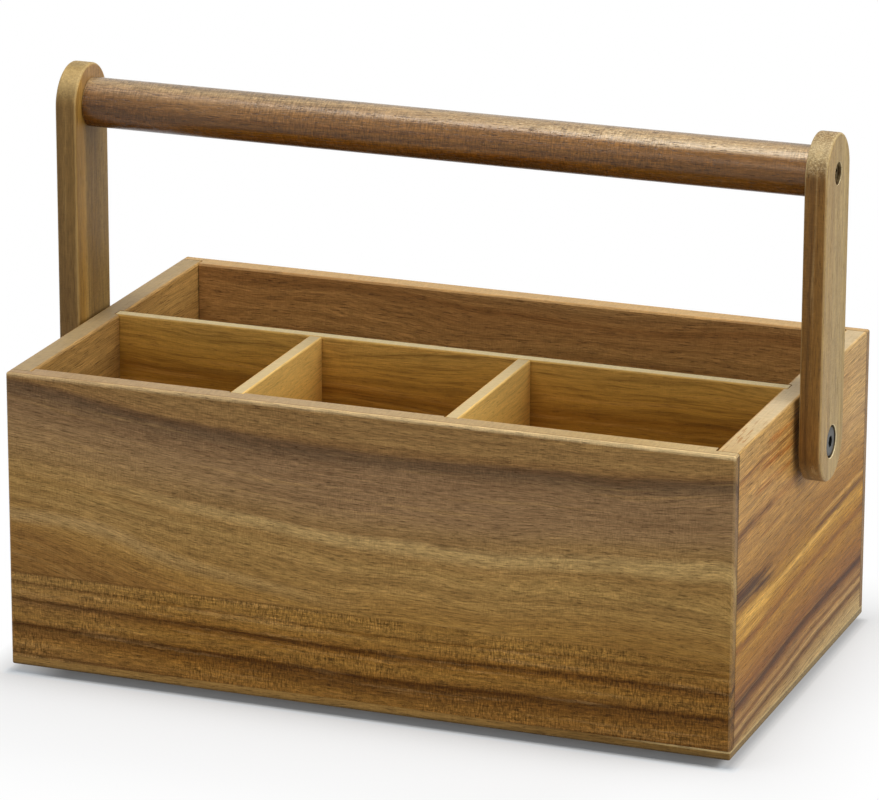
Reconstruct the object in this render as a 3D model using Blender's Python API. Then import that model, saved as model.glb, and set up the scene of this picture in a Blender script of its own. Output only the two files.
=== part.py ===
"""A wooden table caddy: a long open box with a plate bay behind three cutlery bays, and a bail handle.

Metres, +Z up. X runs along the box, Y towards the back, and Z starts at the table.
The handle stands upright here. It swings about the two pivot bolts, over the front or over the back.
"""

import math

import bmesh
import bpy
from mathutils import Matrix, Vector

# Slip between pieces that meet, about a line of glue
joint_gap = 0.0003

# Box: four walls on a flush bottom board, the front and back lapped over the side boards' ends
box_length = 0.280
box_depth = 0.168
wall_height = 0.1100
wall_thickness = 0.0085
lip_thickness = 0.0042
bottom_thickness = 0.0032
board_easing = 0.0008

# Dividers: one along the box, housed in the side boards, and two across the front half
divider_thickness = 0.0052
divider_easing = 0.0006
housing_depth = 0.0020
cutlery_bay_depth = 0.0750
narrow_bay_width = 0.0777

# Round pads under the corners
foot_diameter = 0.0110
foot_height = 0.0028
foot_inset = 0.0220
foot_easing = 0.0008

# Handle: two flat arms with full round ends, and a round bar between them
arm_width = 0.0295
arm_thickness = 0.0084
arm_easing = 0.0010
arm_gap = 0.0018
pivot_below_rim = 0.0183
swing_clearance = 0.0052
bar_diameter = 0.0187
bar_chamfer = 0.0006

# Pivot bolts: a flat head with a hexagon socket, a smooth shoulder in the arm, and a thread in an insert
bolt_head_diameter = 0.0110
bolt_head_height = 0.0024
bolt_head_easing = 0.0004
bolt_sink = 0.0002
bolt_recess_clearance = 0.0006
shoulder_diameter = 0.0058
shoulder_step = 0.0005
socket_across_flats = 0.0040
socket_floor = 0.0007
thread_lead = 0.0004
insert_wall = 0.0013
insert_web = 0.0010
washer_diameter = 0.0120

# Screws that hold the bar between the arms
bar_screw_head_diameter = 0.0076
bar_screw_head_height = 0.0018
bar_screw_sink = 0.0013
bar_screw_recess_clearance = 0.0004
bar_screw_diameter = 0.0038
bar_screw_reach = 0.0200
recess_chamfer = 0.0006

# Countersunk screws up through the bottom board into the walls
base_screw_head_diameter = 0.0056
base_screw_diameter = 0.0026
base_screw_length = 0.0140
base_screw_sink = 0.0002
base_screw_end_inset = 0.0280
base_screw_side_inset = 0.0440

# Cross recess in the wood screws' heads
cross_width = 0.0009
cross_depth = 0.0009
cross_skin = 0.0002

# Facets round a turned piece, and how far a cutter runs past the face that it opens
fine_facets = 48
plain_facets = 32
small_facets = 20
cutter_past = 0.0010

# Places worked out from the sizes above
half_length = box_length / 2
half_depth = box_depth / 2
inner_x = half_length - wall_thickness
inner_y = half_depth - wall_thickness
underside = foot_height + joint_gap
bay_floor = underside + bottom_thickness
wall_foot = bay_floor + joint_gap
divider_front = -inner_y + cutlery_bay_depth
divider_back = divider_front + divider_thickness
first_cross_x = -inner_x + narrow_bay_width
second_cross_x = first_cross_x + divider_thickness + narrow_bay_width
rim_height = wall_foot + wall_height
pivot_height = rim_height - pivot_below_rim
arm_inner_x = half_length + arm_gap
arm_outer_x = arm_inner_x + arm_thickness
rim_corner_reach = math.hypot(half_depth, pivot_below_rim)
arm_reach = rim_corner_reach + swing_clearance + bar_diameter / 2
thread_radius = shoulder_diameter / 2 - shoulder_step
thread_bore_radius = thread_radius + joint_gap
insert_radius = thread_bore_radius + insert_wall
insert_pocket_x = inner_x + housing_depth + insert_web
wall_middle_x = half_length - wall_thickness / 2
wall_middle_y = half_depth - wall_thickness / 2

ACACIA_FRONT = (0.20, 0.115, 0.045)
ACACIA_SIDE = (0.33, 0.19, 0.075)
ACACIA_ARM = (0.27, 0.165, 0.065)
WALNUT_BAR = (0.145, 0.068, 0.036)
PALE_DIVIDER = (0.46, 0.29, 0.10)
BLACK_STEEL = (0.035, 0.035, 0.037)
BRIGHT_STEEL = (0.55, 0.55, 0.56)
BRASS_INSERT = (0.60, 0.45, 0.18)
DARK_RUBBER = (0.03, 0.03, 0.03)


def clear_scene():
    for old in list(bpy.data.objects):
        bpy.data.objects.remove(old)


def make_material(name, colour, roughness, metallic):
    material = bpy.data.materials.new(name)
    material.use_nodes = True
    shader = material.node_tree.nodes["Principled BSDF"]
    shader.inputs["Base Color"].default_value = (*colour, 1.0)
    shader.inputs["Roughness"].default_value = roughness
    shader.inputs["Metallic"].default_value = metallic
    return material


def make_object(name, bm, colour, roughness=0.5, metallic=0.0):
    """Turns a finished bmesh into an object with its own material."""
    bmesh.ops.recalc_face_normals(bm, faces=bm.faces)
    mesh = bpy.data.meshes.new(name)
    bm.to_mesh(mesh)
    bm.free()
    mesh.shade_smooth()
    mesh.set_sharp_from_angle(angle=math.radians(35))
    obj = bpy.data.objects.new(name, mesh)
    mesh.materials.append(make_material(name, colour, roughness, metallic))
    bpy.context.scene.collection.objects.link(obj)
    return obj


def make_cutter(name, bm):
    """A shape that is only taken away from others."""
    obj = make_object(name, bm, (0.8, 0.1, 0.1))
    obj.hide_render = True
    obj.display_type = "WIRE"
    return obj


def cut(obj, cutter):
    boolean = obj.modifiers.new(cutter.name, "BOOLEAN")
    boolean.operation = "DIFFERENCE"
    boolean.solver = "EXACT"
    boolean.object = cutter


def block(low, high):
    """A square-edged block between two opposite corners."""
    bm = bmesh.new()
    bmesh.ops.create_cube(bm, size=1.0)
    bmesh.ops.scale(bm, vec=Vector(high) - Vector(low), verts=bm.verts)
    bmesh.ops.translate(bm, vec=(Vector(low) + Vector(high)) / 2, verts=bm.verts)
    return bm


def together(shapes):
    """Puts separate shapes that don't touch into one mesh, so that they are cut in one go."""
    joined = bmesh.new()
    for shape in shapes:
        bmesh.ops.recalc_face_normals(shape, faces=shape.faces)
        step = bpy.data.meshes.new("step")
        shape.to_mesh(step)
        shape.free()
        joined.from_mesh(step)
        bpy.data.meshes.remove(step)
    return joined


def edges_at(bm, **place):
    """The edges that lie wholly at the given x, y or z."""
    axis_of = {"x": 0, "y": 1, "z": 2}

    def here(vert):
        return all(abs(vert.co[axis_of[axis]] - at) < 1e-6 for axis, at in place.items())

    return [edge for edge in bm.edges if all(here(vert) for vert in edge.verts)]


def ease(bm, edges, radius, segments=2):
    """Rounds the chosen arrises, as a sanding block does."""
    chosen = list(dict.fromkeys(edges))
    bmesh.ops.bevel(
        bm, geom=chosen, offset=radius, segments=segments, profile=0.5, affect="EDGES", clamp_overlap=True
    )


def turned(profile, axis, facets, ring=False):
    """Spins (place along the axis, radius) points about the X or Z axis.

    A ring's profile closes on itself. Each flat end is left as one face, with no point in its middle.
    """
    bm = bmesh.new()
    points = []
    for along, radius in profile:
        points.append(Vector((along, 0, radius)) if axis == "X" else Vector((radius, 0, along)))
    verts = [bm.verts.new(point) for point in points]
    edges = [bm.edges.new(pair) for pair in zip(verts, verts[1:])]
    if ring:
        edges.append(bm.edges.new((verts[-1], verts[0])))
    spin_axis = (1, 0, 0) if axis == "X" else (0, 0, 1)
    bmesh.ops.spin(
        bm, geom=verts + edges, cent=(0, 0, 0), axis=spin_axis, angle=math.tau, steps=facets, use_merge=True
    )
    bmesh.ops.remove_doubles(bm, verts=bm.verts, dist=1e-7)
    along = 0 if axis == "X" else 2
    middles = []
    for vert in bm.verts:
        around = [edge.other_vert(vert) for edge in vert.link_edges]
        if all(abs(other.co[along] - vert.co[along]) < 1e-7 for other in around):
            middles.append(vert)
    bmesh.ops.dissolve_verts(bm, verts=middles)
    return bm


def rod(start, end, radius, axis, facets):
    """A plain cylinder along the axis, most often a cutter for a drilled hole."""
    return turned([(start, 0), (start, radius), (end, radius), (end, 0)], axis, facets)


def moved(bm, x=0.0, y=0.0, z=0.0):
    bmesh.ops.translate(bm, vec=(x, y, z), verts=bm.verts)
    return bm


def cross_prism(span, low, high, axis):
    """A plus-shaped prism between two places on the axis, the cutter for a cross recess."""
    half_arm, half_span = cross_width / 2, span / 2
    corner = [(half_span, half_arm), (half_arm, half_arm), (half_arm, half_span)]
    outline = []
    for quarter in range(4):
        cosine, sine = round(math.cos(quarter * math.pi / 2)), round(math.sin(quarter * math.pi / 2))
        outline += [(u * cosine - v * sine, u * sine + v * cosine) for u, v in corner]
    bm = bmesh.new()
    place = (lambda u, v: (low, u, v)) if axis == "X" else (lambda u, v: (u, v, low))
    face = bm.faces.new([bm.verts.new(place(u, v)) for u, v in outline])
    lifted = bmesh.ops.extrude_face_region(bm, geom=[face])
    step = (high - low, 0, 0) if axis == "X" else (0, 0, high - low)
    new_verts = [item for item in lifted["geom"] if isinstance(item, bmesh.types.BMVert)]
    bmesh.ops.translate(bm, vec=step, verts=new_verts)
    return bm


def base_screw_places():
    """Under the middle of the walls: three along the front, three along the back and two at each side."""
    along_x = (-half_length + base_screw_end_inset, 0.0, half_length - base_screw_end_inset)
    along_y = (-half_depth + base_screw_side_inset, half_depth - base_screw_side_inset)
    places = {"front": [], "back": [], "left": [], "right": []}
    for x in along_x:
        places["front"].append((x, -wall_middle_y))
        places["back"].append((x, wall_middle_y))
    for y in along_y:
        places["left"].append((-wall_middle_x, y))
        places["right"].append((wall_middle_x, y))
    return places


def pilot_holes(wall):
    """Holes up from a wall's lower edge for the screws that come through the bottom board."""
    hole_top = underside + base_screw_sink + base_screw_length + joint_gap
    radius = base_screw_diameter / 2 + joint_gap
    holes = []
    for x, y in base_screw_places()[wall]:
        holes.append(moved(rod(wall_foot - cutter_past, hole_top, radius, "Z", small_facets), x=x, y=y))
    return holes


def make_bottom_board():
    """A thin board under all four walls, flush with their outer faces."""
    bm = block((-half_length, -half_depth, underside), (half_length, half_depth, bay_floor))
    arrises = edges_at(bm, z=underside)
    for x in (-half_length, half_length):
        for y in (-half_depth, half_depth):
            arrises += edges_at(bm, x=x, y=y)
    ease(bm, arrises, board_easing)
    board = make_object("bottom_board", bm, ACACIA_SIDE)
    head = base_screw_head_diameter / 2 + joint_gap
    shank = base_screw_diameter / 2 + joint_gap
    cone_top = underside + base_screw_sink + head - shank
    holes = []
    for places in base_screw_places().values():
        for x, y in places:
            profile = [
                (underside - cutter_past, 0),
                (underside - cutter_past, head),
                (underside + base_screw_sink, head),
                (cone_top, shank),
                (bay_floor + cutter_past, shank),
                (bay_floor + cutter_past, 0),
            ]
            holes.append(moved(turned(profile, "Z", small_facets), x=x, y=y))
    cut(board, make_cutter("cutter_countersinks", together(holes)))


def make_long_wall(name, wall, outward, housings=()):
    """The front or back board: full length, its ends rabbeted so that a lip laps the side boards' ends.

    The housings are the left faces of the cross dividers that are let into it.
    """
    outer = outward * half_depth
    inner = outward * inner_y
    low = (-half_length, min(outer, inner), wall_foot)
    high = (half_length, max(outer, inner), rim_height)
    bm = block(low, high)
    arrises = edges_at(bm, z=rim_height)
    for x in (-half_length, half_length):
        arrises += edges_at(bm, x=x, y=outer)
    ease(bm, arrises, board_easing)
    board = make_object(name, bm, ACACIA_FRONT)
    ys = sorted((outer - outward * lip_thickness, inner - outward * cutter_past))
    shapes = pilot_holes(wall)
    for end in (-1, 1):
        xs = sorted((end * (inner_x - joint_gap), end * (half_length + cutter_past)))
        shapes.append(
            block((xs[0], ys[0], wall_foot - cutter_past), (xs[1], ys[1], rim_height + cutter_past))
        )
    for left in housings:
        ys = (-inner_y - housing_depth, -inner_y + cutter_past)
        xs = (left - joint_gap, left + divider_thickness + joint_gap)
        shapes.append(
            block((xs[0], ys[0], wall_foot - cutter_past), (xs[1], ys[1], rim_height + cutter_past))
        )
    cut(board, make_cutter(f"cutter_{name}", together(shapes)))


def make_side_board(name, wall, side):
    """A side board between the lips, with a housing for the long divider and a pocket for the insert."""
    outer = side * half_length
    inner = side * inner_x
    end_y = half_depth - lip_thickness - joint_gap
    low = (min(outer, inner), -end_y, wall_foot)
    high = (max(outer, inner), end_y, rim_height)
    bm = block(low, high)
    ease(bm, edges_at(bm, x=outer, z=rim_height) + edges_at(bm, x=inner, z=rim_height), board_easing)
    board = make_object(name, bm, ACACIA_SIDE)
    xs = sorted((side * (inner_x - cutter_past), side * (inner_x + housing_depth)))
    housing = block(
        (xs[0], divider_front - joint_gap, wall_foot - cutter_past),
        (xs[1], divider_back + joint_gap, rim_height + cutter_past),
    )
    pocket_ends = sorted((side * insert_pocket_x, side * (half_length + cutter_past)))
    pocket = moved(rod(*pocket_ends, insert_radius + joint_gap, "X", plain_facets), z=pivot_height)
    cut(board, make_cutter(f"cutter_{name}", together([housing, pocket, *pilot_holes(wall)])))


def make_long_divider():
    """The board along the middle, its ends let into the side boards."""
    end = inner_x + housing_depth - joint_gap
    bm = block((-end, divider_front, wall_foot), (end, divider_back, rim_height))
    top = edges_at(bm, y=divider_front, z=rim_height) + edges_at(bm, y=divider_back, z=rim_height)
    ease(bm, top, divider_easing)
    return make_object("long_divider", bm, PALE_DIVIDER)


def make_cross_divider(name, left):
    """A board across the front half, let into the front board and butted to the long divider."""
    right = left + divider_thickness
    front_end = -inner_y - housing_depth + joint_gap
    bm = block((left, front_end, wall_foot), (right, divider_front - joint_gap, rim_height))
    ease(bm, edges_at(bm, x=left, z=rim_height) + edges_at(bm, x=right, z=rim_height), divider_easing)
    make_object(name, bm, PALE_DIVIDER)


def make_feet():
    """Round pads stuck under the bottom board, a little in from its corners."""
    radius = foot_diameter / 2
    soft = min(foot_easing, foot_height / 2)
    profile = [(0, 0), (0, radius - soft), (soft, radius), (foot_height, radius), (foot_height, 0)]
    places = {
        "foot_front_left": (-1, -1),
        "foot_front_right": (1, -1),
        "foot_back_left": (-1, 1),
        "foot_back_right": (1, 1),
    }
    for name, (side, end) in places.items():
        foot = turned(profile, "Z", plain_facets)
        moved(foot, x=side * (half_length - foot_inset), y=end * (half_depth - foot_inset))
        make_object(name, foot, DARK_RUBBER, roughness=0.8)


def make_base_screws():
    """Small countersunk wood screws, driven up through the bottom board."""
    head = base_screw_head_diameter / 2
    shank = base_screw_diameter / 2
    face = underside + base_screw_sink
    tip = face + base_screw_length
    profile = [(face, 0), (face, head), (face + head - shank, shank), (tip - 2 * shank, shank), (tip, 0)]
    for wall, places in base_screw_places().items():
        for number, (x, y) in enumerate(places, 1):
            name = f"base_screw_{wall}_{number}"
            screw = make_object(
                name, moved(turned(profile, "Z", small_facets), x=x, y=y), BRIGHT_STEEL, 0.35, 1.0
            )
            span = base_screw_head_diameter - 2 * (cross_depth + cross_skin)
            recess = cross_prism(span, face - cutter_past, face + cross_depth, "Z")
            cut(screw, make_cutter(f"cutter_{name}", moved(recess, x=x, y=y)))


def arm_outline(centre_low, centre_high):
    """Points round the arm in the YZ plane: a half circle about each hole, joined by straight sides."""
    radius = arm_width / 2
    steps = 24
    outline = []
    for centre, start in ((centre_high, 0.0), (centre_low, math.pi)):
        for step in range(steps + 1):
            angle = start + math.pi * step / steps
            outline.append((radius * math.cos(angle), centre + radius * math.sin(angle)))
    return outline


def stepped_hole(bore_radius, recess_radius, recess_floor):
    """The cutter for a bore through an arm, with a wide recess in its outer face and a chamfered mouth."""
    mouth = recess_radius + recess_chamfer
    past = arm_outer_x + cutter_past
    profile = [
        (arm_inner_x - cutter_past, 0),
        (arm_inner_x - cutter_past, bore_radius),
        (recess_floor, bore_radius),
        (recess_floor, recess_radius),
        (arm_outer_x - recess_chamfer, recess_radius),
        (arm_outer_x, mouth),
        (past, mouth),
        (past, 0),
    ]
    return turned(profile, "X", plain_facets)


def make_arm(name, turn, pivot):
    """A flat arm with full round ends, bored for the pivot bolt below and the bar's screw above."""
    bm = bmesh.new()
    verts = [bm.verts.new((arm_inner_x, y, z)) for y, z in arm_outline(0.0, arm_reach)]
    face = bm.faces.new(verts)
    thicker = bmesh.ops.extrude_face_region(bm, geom=[face])
    far_verts = [item for item in thicker["geom"] if isinstance(item, bmesh.types.BMVert)]
    bmesh.ops.translate(bm, vec=(arm_thickness, 0, 0), verts=far_verts)
    ease(bm, edges_at(bm, x=arm_inner_x) + edges_at(bm, x=arm_outer_x), arm_easing, segments=3)
    arm = make_object(name, bm, ACACIA_ARM)
    bolt_floor = arm_outer_x - bolt_sink - bolt_head_height - joint_gap
    bolt_hole = stepped_hole(
        shoulder_diameter / 2 + joint_gap, bolt_head_diameter / 2 + bolt_recess_clearance, bolt_floor
    )
    screw_floor = arm_outer_x - bar_screw_sink - bar_screw_head_height - joint_gap
    screw_hole = stepped_hole(
        bar_screw_diameter / 2 + joint_gap,
        bar_screw_head_diameter / 2 + bar_screw_recess_clearance,
        screw_floor,
    )
    cutter = make_cutter(f"cutter_{name}", together([bolt_hole, moved(screw_hole, z=arm_reach)]))
    for piece in (arm, cutter):
        piece.parent = pivot
        piece.rotation_euler.z = turn
    cut(arm, cutter)


def make_bar(pivot):
    """The round bar that the hand holds, butted between the arms and drilled at both ends."""
    end = arm_inner_x - joint_gap
    radius = bar_diameter / 2
    edge = radius - bar_chamfer
    profile = [
        (-end, 0), (-end, edge), (-end + bar_chamfer, radius),
        (end - bar_chamfer, radius), (end, edge), (end, 0),
    ]
    bar = make_object("handle_bar", moved(turned(profile, "X", fine_facets), z=arm_reach), WALNUT_BAR, 0.4)
    holes = []
    for side in (-1, 1):
        ends = sorted((side * (end + cutter_past), side * (arm_inner_x - bar_screw_reach - joint_gap)))
        holes.append(moved(rod(*ends, bar_screw_diameter / 2 + joint_gap, "X", small_facets), z=arm_reach))
    cutter = make_cutter("cutter_bar_pilots", together(holes))
    for piece in (bar, cutter):
        piece.parent = pivot
    cut(bar, cutter)


def make_bar_screw(name, turn, pivot):
    """A wood screw through an arm into the end of the bar, its head below the arm's face."""
    face = arm_outer_x - bar_screw_sink
    under_head = face - bar_screw_head_height
    tip = arm_inner_x - bar_screw_reach
    head, shank = bar_screw_head_diameter / 2, bar_screw_diameter / 2
    profile = [
        (tip, 0), (tip + 2 * shank, shank), (under_head, shank), (under_head, head),
        (face - bar_screw_head_height / 3, head), (face, head * 0.8), (face, 0),
    ]
    screw = make_object(
        name, moved(turned(profile, "X", small_facets), z=arm_reach), BLACK_STEEL, 0.4, 1.0
    )
    span = bar_screw_head_diameter - 2 * (cross_depth + cross_skin)
    recess = cross_prism(span, face - cross_depth, face + cutter_past, "X")
    cutter = make_cutter(f"cutter_{name}", moved(recess, z=arm_reach))
    for piece in (screw, cutter):
        piece.parent = pivot
        piece.rotation_euler.z = turn
    cut(screw, cutter)


def make_pivot_bolt(name, turn):
    """A shoulder bolt: it is tight in the insert, and the arm turns on its smooth shoulder."""
    face = arm_outer_x - bolt_sink
    under_head = face - bolt_head_height
    shoulder_end = half_length + joint_gap
    thread_end = insert_pocket_x + 2 * joint_gap
    head, shoulder = bolt_head_diameter / 2, shoulder_diameter / 2
    profile = [
        (thread_end, 0), (thread_end, thread_radius - thread_lead), (thread_end + thread_lead, thread_radius),
        (shoulder_end, thread_radius), (shoulder_end, shoulder), (under_head, shoulder), (under_head, head),
        (face - bolt_head_easing, head), (face, head - bolt_head_easing), (face, 0),
    ]
    bolt = make_object(name, turned(profile, "X", plain_facets), BLACK_STEEL, 0.4, 1.0)
    socket = turned(
        [
            (under_head + socket_floor, 0),
            (under_head + socket_floor, socket_across_flats / math.sqrt(3)),
            (face + cutter_past, socket_across_flats / math.sqrt(3)),
            (face + cutter_past, 0),
        ],
        "X",
        6,
    )
    cutter = make_cutter(f"cutter_{name}", socket)
    for piece in (bolt, cutter):
        piece.location.z = pivot_height
        piece.rotation_euler.z = turn
    cut(bolt, cutter)


def make_washer_and_insert(side_name, turn):
    """A washer keeps the arm off the side board, and a threaded insert in the board takes the bolt."""
    washer_bore = shoulder_diameter / 2 + joint_gap
    washer_profile = [
        (half_length + joint_gap, washer_bore),
        (half_length + joint_gap, washer_diameter / 2),
        (arm_inner_x - joint_gap, washer_diameter / 2),
        (arm_inner_x - joint_gap, washer_bore),
    ]
    insert_ends = (insert_pocket_x + joint_gap, half_length - joint_gap)
    insert_profile = [
        (insert_ends[0], thread_bore_radius),
        (insert_ends[0], insert_radius),
        (insert_ends[1], insert_radius),
        (insert_ends[1], thread_bore_radius),
    ]
    washer = turned(washer_profile, "X", plain_facets, ring=True)
    insert = turned(insert_profile, "X", plain_facets, ring=True)
    pieces = (
        make_object(f"pivot_washer_{side_name}", washer, BRIGHT_STEEL, 0.35, 1.0),
        make_object(f"threaded_insert_{side_name}", insert, BRASS_INSERT, 0.35, 1.0),
    )
    for piece in pieces:
        piece.location.z = pivot_height
        piece.rotation_euler.z = turn


clear_scene()

make_bottom_board()
make_long_wall("front_board", "front", -1, housings=(first_cross_x, second_cross_x))
make_long_wall("back_board", "back", 1)
make_side_board("side_board_left", "left", -1)
make_side_board("side_board_right", "right", 1)
make_long_divider()
make_cross_divider("cross_divider_left", first_cross_x)
make_cross_divider("cross_divider_right", second_cross_x)
make_feet()
make_base_screws()

handle_pivot = bpy.data.objects.new("handle_pivot", None)
handle_pivot.location.z = pivot_height
bpy.context.scene.collection.objects.link(handle_pivot)
make_bar(handle_pivot)
for side_name, turn in (("right", 0.0), ("left", math.pi)):
    make_arm(f"handle_arm_{side_name}", turn, handle_pivot)
    make_bar_screw(f"bar_screw_{side_name}", turn, handle_pivot)
    make_pivot_bolt(f"pivot_bolt_{side_name}", turn)
    make_washer_and_insert(side_name, turn)
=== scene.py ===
import math
import bpy
from mathutils import Matrix, Vector


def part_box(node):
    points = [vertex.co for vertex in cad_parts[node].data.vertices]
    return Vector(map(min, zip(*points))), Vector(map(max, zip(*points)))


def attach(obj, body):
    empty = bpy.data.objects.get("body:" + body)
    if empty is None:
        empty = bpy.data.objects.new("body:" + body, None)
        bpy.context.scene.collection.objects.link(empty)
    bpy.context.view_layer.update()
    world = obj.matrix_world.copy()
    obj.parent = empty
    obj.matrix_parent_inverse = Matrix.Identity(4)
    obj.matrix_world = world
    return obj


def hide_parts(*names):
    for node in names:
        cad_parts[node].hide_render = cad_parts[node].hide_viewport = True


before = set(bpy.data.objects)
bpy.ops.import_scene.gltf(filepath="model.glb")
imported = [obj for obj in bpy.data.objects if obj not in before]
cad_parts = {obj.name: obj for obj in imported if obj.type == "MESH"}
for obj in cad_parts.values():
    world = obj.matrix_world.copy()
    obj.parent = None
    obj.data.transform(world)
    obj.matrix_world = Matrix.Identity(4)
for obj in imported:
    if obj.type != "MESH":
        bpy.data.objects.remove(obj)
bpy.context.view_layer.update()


# ---------------------------------------------------------------------------
# Camera. It stands to the front and right of the box and looks down on it
# from about 17 degrees, with a long lens, as in the photograph.

bpy.ops.object.select_all(action="DESELECT")
bpy.ops.object.camera_add()
camera = bpy.context.object
camera.name = "camera"
camera.data.sensor_width = 36.0
camera.data.lens = 214.34
camera.data.clip_start = 0.05
camera.data.clip_end = 30.0
camera.matrix_world = (
    Matrix.Translation((0.65159, -1.74322, 0.67755))
    @ Matrix.Rotation(math.radians(20.546), 4, "Z")
    @ Matrix.Rotation(math.radians(90 - 17.32), 4, "X")
    @ Matrix.Rotation(math.radians(0.171), 4, "Z")
)
bpy.context.scene.camera = camera
bpy.context.scene.view_settings.view_transform = "Standard"


# ---------------------------------------------------------------------------
# Studio light. A wide soft box hangs over the table, a second one stands to
# the right, and a weak one by the camera opens up the front.

def hang_light(name, place, aim, width, depth, power):
    """A soft box of the given size that faces the aim."""
    bpy.ops.object.select_all(action="DESELECT")
    bpy.ops.object.light_add(type="AREA", location=place)
    light = bpy.context.object
    light.name = name
    light.data.shape = "RECTANGLE"
    light.data.size = width
    light.data.size_y = depth
    light.data.energy = power
    light.rotation_euler = (Vector(aim) - Vector(place)).to_track_quat("-Z", "Y").to_euler()


hang_light("soft_box_above", (0.05, -0.10, 1.25), (0.0, 0.0, 0.05), 1.10, 0.42, 13.0)
hang_light("soft_box_right", (1.25, 0.10, 0.60), (0.05, 0.0, 0.06), 0.70, 0.70, 8.0)
hang_light("soft_box_front", (0.10, -1.60, 0.75), (0.0, 0.0, 0.06), 1.00, 0.60, 5.0)


def tone(red, green, blue):
    """A colour given in 0-255 steps, as the shaders want it."""
    linear = [
        (c / 255 / 12.92) if c / 255 <= 0.04045 else ((c / 255 + 0.055) / 1.055) ** 2.4
        for c in (red, green, blue)
    ]
    return (*linear, 1.0)


def add_node(tree, kind, sockets, **settings):
    """Adds a shader node and feeds its sockets with outputs, numbers or colours in 0-255 steps."""
    node = tree.nodes.new(f"ShaderNode{kind}")
    for name, setting in settings.items():
        setattr(node, name, setting)
    for name, value in sockets.items():
        if isinstance(value, bpy.types.NodeSocket):
            tree.links.new(value, node.inputs[name])
        else:
            node.inputs[name].default_value = tone(*value) if isinstance(value, tuple) else value
    return node


def seen_directly(tree):
    """1 where the camera sees a thing, straight or in a gloss or glass, and 0 where it only gives light."""
    rays = add_node(tree, "LightPath", {}).outputs
    seen = add_node(tree, "Math", {0: rays["Is Camera Ray"], 1: rays["Is Glossy Ray"]}, operation="MAXIMUM")
    seen = add_node(tree, "Math", {0: seen.outputs[0], 1: rays["Is Transmission Ray"]}, operation="MAXIMUM")
    return seen.outputs[0]


room = bpy.context.scene.world or bpy.data.worlds.new("room")
bpy.context.scene.world = room
room.use_nodes = True
sky = room.node_tree
sky.nodes.clear()
sky_white = add_node(sky, "Background", {"Color": (255, 255, 255), "Strength": 1.0})
sky_fill = add_node(sky, "Background", {"Color": (255, 255, 255), "Strength": 0.20})
sky_mix = add_node(sky, "MixShader", {0: seen_directly(sky), 1: sky_fill.outputs[0], 2: sky_white.outputs[0]})
add_node(sky, "OutputWorld", {"Surface": sky_mix.outputs[0]})


# ---------------------------------------------------------------------------
# Floor. A pale sheet of paper under the box: it takes the soft shadow close to
# the walls and fades to white a hand's width away from them.

bpy.ops.object.select_all(action="DESELECT")
bpy.ops.mesh.primitive_plane_add(size=24.0)
floor = bpy.context.object
floor.name = "floor"


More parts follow.
